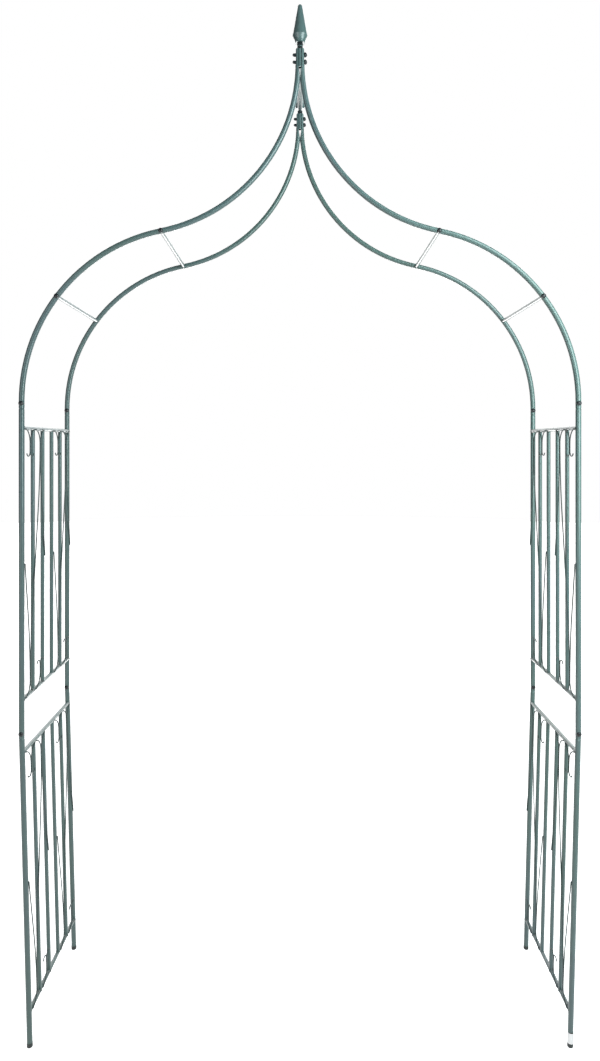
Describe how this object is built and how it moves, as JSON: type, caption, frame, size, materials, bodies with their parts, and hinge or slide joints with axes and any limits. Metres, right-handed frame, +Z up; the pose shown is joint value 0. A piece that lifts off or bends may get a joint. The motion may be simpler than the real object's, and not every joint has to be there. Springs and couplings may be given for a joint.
{
  "type": "metal trellis arch",
  "caption": "Free-standing garden arch for climbing plants: ladder sides with scroll wires, ogee top rails, depth ties and conical finials.",
  "frame": {"origin": "on the ground, centred between the four feet", "axes": "+Z up, X across the opening, +Y from the front frame to the rear frame"},
  "size_m": [1.4, 0.4032, 2.594],
  "materials": {
    "green_powder_coat": "gloss",
    "black_fasteners": "gloss",
    "black_plastic": "satin",
    "bare_steel": "satin"
  },
  "bodies": {
    "root": {"apex_cap_nuts": "black_fasteners", "apex_cross_bolts": "black_fasteners", "apex_tie_bar": "green_powder_coat", "crossbar_bolts": "black_fasteners", "crossbar_inserts": "bare_steel", "finial_lower_nuts": "black_fasteners", "finial_studs": "bare_steel", "finial_upper_nuts": "black_fasteners", "finial_washers": "black_fasteners", "front_apex_centre_tube": "green_powder_coat", "front_finial": "green_powder_coat", "front_left_arch_rail": "green_powder_coat", "front_right_arch_rail": "green_powder_coat", "left_front_foot_cap": "black_plastic", "left_high_crossbar": "green_powder_coat", "left_low_crossbar": "green_powder_coat", "left_lower_bars": "green_powder_coat", "left_lower_bottom_rail": "green_powder_coat", "left_lower_front_post": "green_powder_coat", "left_lower_rear_post": "green_powder_coat", "left_lower_scroll_wires": "green_powder_coat", "left_lower_top_rail": "green_powder_coat", "left_rear_foot_cap": "black_plastic", "left_upper_bars": "green_powder_coat", "left_upper_bottom_rail": "green_powder_coat", "left_upper_front_post": "green_powder_coat", "left_upper_rear_post": "green_powder_coat", "left_upper_scroll_wires": "green_powder_coat", "left_upper_top_rail": "green_powder_coat", "mid_joint_screws": "black_fasteners", "rear_apex_centre_tube": "green_powder_coat", "rear_finial": "green_powder_coat", "rear_left_arch_rail": "green_powder_coat", "rear_right_arch_rail": "green_powder_coat", "right_front_foot_cap": "black_plastic", "right_high_crossbar": "green_powder_coat", "right_low_crossbar": "green_powder_coat", "right_lower_bars": "green_powder_coat", "right_lower_bottom_rail": "green_powder_coat", "right_lower_front_post": "green_powder_coat", "right_lower_rear_post": "green_powder_coat", "right_lower_scroll_wires": "green_powder_coat", "right_lower_top_rail": "green_powder_coat", "right_rear_foot_cap": "black_plastic", "right_upper_bars": "green_powder_coat", "right_upper_bottom_rail": "green_powder_coat", "right_upper_front_post": "green_powder_coat", "right_upper_rear_post": "green_powder_coat", "right_upper_scroll_wires": "green_powder_coat", "right_upper_top_rail": "green_powder_coat", "shoulder_joint_screws": "black_fasteners"}
  },
  "joints": []
}
